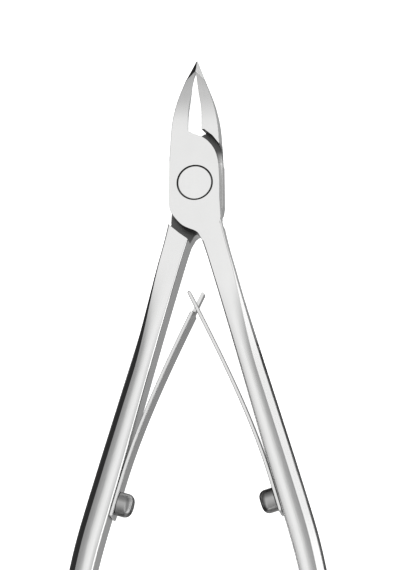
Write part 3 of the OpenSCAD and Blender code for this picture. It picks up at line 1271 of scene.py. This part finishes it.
@dataclass
class SpringScrew:
    """A domed screw that holds a leaf on its handle."""

    sizes: Sizes
    hand: Hand
    rim: float = 0.1

    def build(self, finishes: Finishes) -> bpy.types.Object:
        """Builds the screw and puts it in place of its CAD node."""
        z = self.sizes
        r, e, top = z.screw_head_d / 2, z.screw_head_round, z.screw_head_t
        shank = z.leaf_t + 2 * z.seat_gap + z.screw_grip
        dome = [
            (r - e + e * math.cos(t), -top + e - e * math.sin(t))
            for t in np.radians(np.arange(90, -1, -9))
        ]
        rim, thread = self.rim, z.screw_d / 2
        profile = [
            (0, -top), *dome, (r, -rim), (r - rim, 0), (thread, 0), (thread, shank), (0, shank),
        ]
        head = Solid.turned(profile, 128)
        w, reach = z.driver_w / 2, r + 1
        slot = [(-w, -reach), (w, -reach), (w, reach), (-w, reach)]
        head.cut(Solid.prism(np.array(slot), -top - 1, -top + z.driver_t))
        place = Matrix.Translation((-z.leaf_base - z.leaf_t - 2 * z.seat_gap, 0, 0))
        head.move(handle_frame(z, z.screw_at) @ place @ Matrix.Rotation(math.pi / 2, 4, "Y"))
        if self.hand is Hand.LEFT:
            head.move(Matrix.Diagonal((-1, 1, 1, 1)))
        name = f"{self.hand.name.lower()}_spring_screw"
        piece = head.cleaned().shaded(25).piece(f"{name}_body", [finishes.screw])
        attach(piece, "front" if self.hand is Hand.RIGHT else "back")
        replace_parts(piece, name)
        return piece


# ---- Studio ---------------------------------------------------------------------------------


@dataclass
class Studio:
    """Pale light table, a tent of soft light along the nipper, and the camera."""

    sizes: Sizes
    yaw: float = 8.0
    pitch: float = -15.0
    view_height: float = 114.0
    distance: float = 1000.0
    view_offset: Point = (1.06, -20.54)
    room: float = 4.0
    table_glow: float = 1.1

    def build(self) -> None:
        """Builds the floor, the light and the camera."""
        self._floor()
        self._backdrop()
        self._light()
        self._camera()
        bpy.context.scene.view_settings.view_transform = "Standard"

    @staticmethod
    def _stand(
        mesh: bpy.types.Mesh, finish: str, shader: Callable[[Graph], bpy.types.Node]
    ) -> bpy.types.Object:
        """Makes an object of the stage, which the steel doesn't mirror.

        Args:
            mesh: Its mesh.
            finish: The name of its material.
            shader: Adds the shader to the material's graph.

        Returns:
            The object.
        """
        material = bpy.data.materials.new(finish)
        material.use_nodes = True
        graph = Graph(material.node_tree)
        graph.node("ShaderNodeOutputMaterial", {}, {"Surface": shader(graph).outputs[0]})
        mesh.materials.append(material)
        stand = bpy.data.objects.new(mesh.name, mesh)
        stand.visible_glossy = False
        bpy.context.scene.collection.objects.link(stand)
        return stand

    def _floor(self) -> None:
        """The table top that the nipper rests on, lit softly from below."""
        mesh = bpy.data.meshes.new("light_table")
        r = self.room
        mesh.from_pydata([(-r, -r, 0), (r, -r, 0), (r, r, 0), (-r, r, 0)], [], [(0, 1, 2, 3)])
        table = self._stand(mesh, "pale_table", self._pale)

    def _pale(self, graph: Graph) -> bpy.types.Node:
        """The table's shader, white with a faint haze."""
        haze = graph.noise(graph.vector(*graph.place()), 0.01) * 0.02 + 0.9
        return graph.node(
            "ShaderNodeBsdfPrincipled", {},
            {"Base Color": graph.vector(haze, haze, haze), "Roughness": 0.6,
             "Emission Color": WHITE, "Emission Strength": self.table_glow},
        )

    def _backdrop(self) -> None:
        """A plain white dome behind everything, which casts no light of its own."""
        mesh = bpy.data.meshes.new("backdrop")
        bm = bmesh.new()
        bmesh.ops.create_uvsphere(bm, u_segments=48, v_segments=24, radius=self.room)
        bm.to_mesh(mesh)
        bm.free()
        dome = self._stand(
            mesh, "plain_backdrop",
            lambda graph: graph.node("ShaderNodeEmission", {}, {"Color": WHITE, "Strength": 1.0}),
        )
        dome.visible_diffuse = dome.visible_shadow = False
        dome.visible_transmission = dome.visible_volume_scatter = False

    def _light(self) -> None:
        """A tent of soft light that is a band across the nipper, with darker gaps at its sides."""
        world = bpy.data.worlds.new("light_tent")
        bpy.context.scene.world = world
        world.use_nodes = True
        graph = Graph(world.node_tree)
        coords = graph.node("ShaderNodeTexCoord")
        split = graph.node("ShaderNodeSeparateXYZ", {}, {0: coords.outputs["Generated"]})
        x, y, z = (graph.value(split, i) for i in range(3))
        round_axis = x.turn(z) * (0.5 / math.pi) + 0.5
        # Degrees from straight up towards +X, with the light there.
        across = [
            (-180, 0.50), (-160, 0.45), (-146, 0.06), (-112, 0.03), (-84, 0.05), (-60, 0.22),
            (-42, 0.46), (-27, 0.56), (-15, 1.25), (-4, 1.5), (4, 1.1), (14, 0.62), (34, 0.5),
            (62, 0.8), (84, 2.2), (116, 2.2), (123, 0.2), (130, 0.06), (150, 0.07), (162, 0.42),
            (180, 0.50),
        ]
        stops = [(d / 360 + 0.5, v / 2) for d, v in across]
        band = graph.node("ShaderNodeValToRGB", {"stops": stops}, {0: round_axis})
        along = y.rise(0.26, 0.62).blend(1.0, 0.52)
        far = self._lobe(graph, coords.outputs["Generated"], (0.45, 0.85, -0.28), 0.86, 0.97) * 0.75
        strength = graph.value(band, "Color") * 2.0 * along + far
        light = graph.node("ShaderNodeBackground", {}, {"Color": WHITE, "Strength": strength})
        graph.node("ShaderNodeOutputWorld", {}, {"Surface": light.outputs[0]})

    @staticmethod
    def _lobe(
        graph: Graph, direction: bpy.types.NodeSocket, towards: tuple[float, float, float],
        edge: float, core: float,
    ) -> Value:
        """A round soft light.

        Args:
            graph: The world's graph.
            direction: The direction that is looked along.
            towards: Where the light's centre is.
            edge: Cosine of the angle from the centre to its faint edge.
            core: Cosine of the angle from the centre to its full strength.

        Returns:
            One at the centre, and zero outside.
        """
        centre = Vector(towards).normalized()
        dot = graph.node(
            "ShaderNodeVectorMath", {"operation": "DOT_PRODUCT"}, {0: direction, 1: centre}
        )
        return graph.value(dot, "Value").rise(edge, core)

    def _camera(self) -> None:
        """A long lens, aimed from slightly to the right and from the handles' side."""
        yaw, pitch = math.radians(self.yaw), math.radians(self.pitch)
        flat = math.cos(pitch)
        to_camera = Vector((math.sin(yaw) * flat, math.sin(pitch), math.cos(yaw) * flat))
        right = Vector((math.cos(yaw), 0, -math.sin(yaw)))
        up = to_camera.cross(right)
        across, along = self.view_offset
        target = Vector((0, 0, self.sizes.body_t)) + right * across + up * along
        camera = bpy.data.cameras.new("camera")
        camera.sensor_width = 36.0
        camera.lens = 36.0 * self.distance / self.view_height
        camera.clip_end = 20.0
        eye = bpy.data.objects.new("camera", camera)
        turn = Matrix((right, up, to_camera)).transposed().to_4x4()
        eye.matrix_world = Matrix.Translation((target + to_camera * self.distance) * MM) @ turn
        bpy.context.scene.collection.objects.link(eye)
        bpy.context.scene.camera = eye


# ---- Assembly -------------------------------------------------------------------------------


def report(piece: bpy.types.Object) -> None:
    """Logs a piece's size and how far it stands outside its CAD node."""
    corners = np.array([v.co for v in piece.data.vertices])
    low, high = corners.min(0), corners.max(0)
    stand = 0.0
    for node in piece.get("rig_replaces", []):
        cad_low, cad_high = (np.array(c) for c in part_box(node))
        stand = max(stand, (cad_low - low).max(), (high - cad_high).max())
    LOG.info(
        "%s: %s mm, %d faces, outside its CAD node by %.3f mm",
        piece.name, np.round((high - low) / MM, 2).tolist(), len(piece.data.polygons), stand / MM,
    )


def main() -> None:
    """Builds the nipper and its studio."""
    logging.basicConfig(level=logging.INFO, format="%(name)s: %(message)s", stream=sys.stdout)
    finishes = Finishes()
    builders: list[Callable[[Finishes], bpy.types.Object]] = [
        Half(SIZES, Side.BACK).build,
        Half(SIZES, Side.FRONT).build,
        PivotPin(SIZES).build,
        LeafSpring(SIZES, Hand.LEFT).build,
        LeafSpring(SIZES, Hand.RIGHT).build,
        SpringScrew(SIZES, Hand.LEFT).build,
        SpringScrew(SIZES, Hand.RIGHT).build,
    ]
    for build in builders:
        report(build(finishes))
    Studio(SIZES).build()


if __name__ == "__main__":
    main()
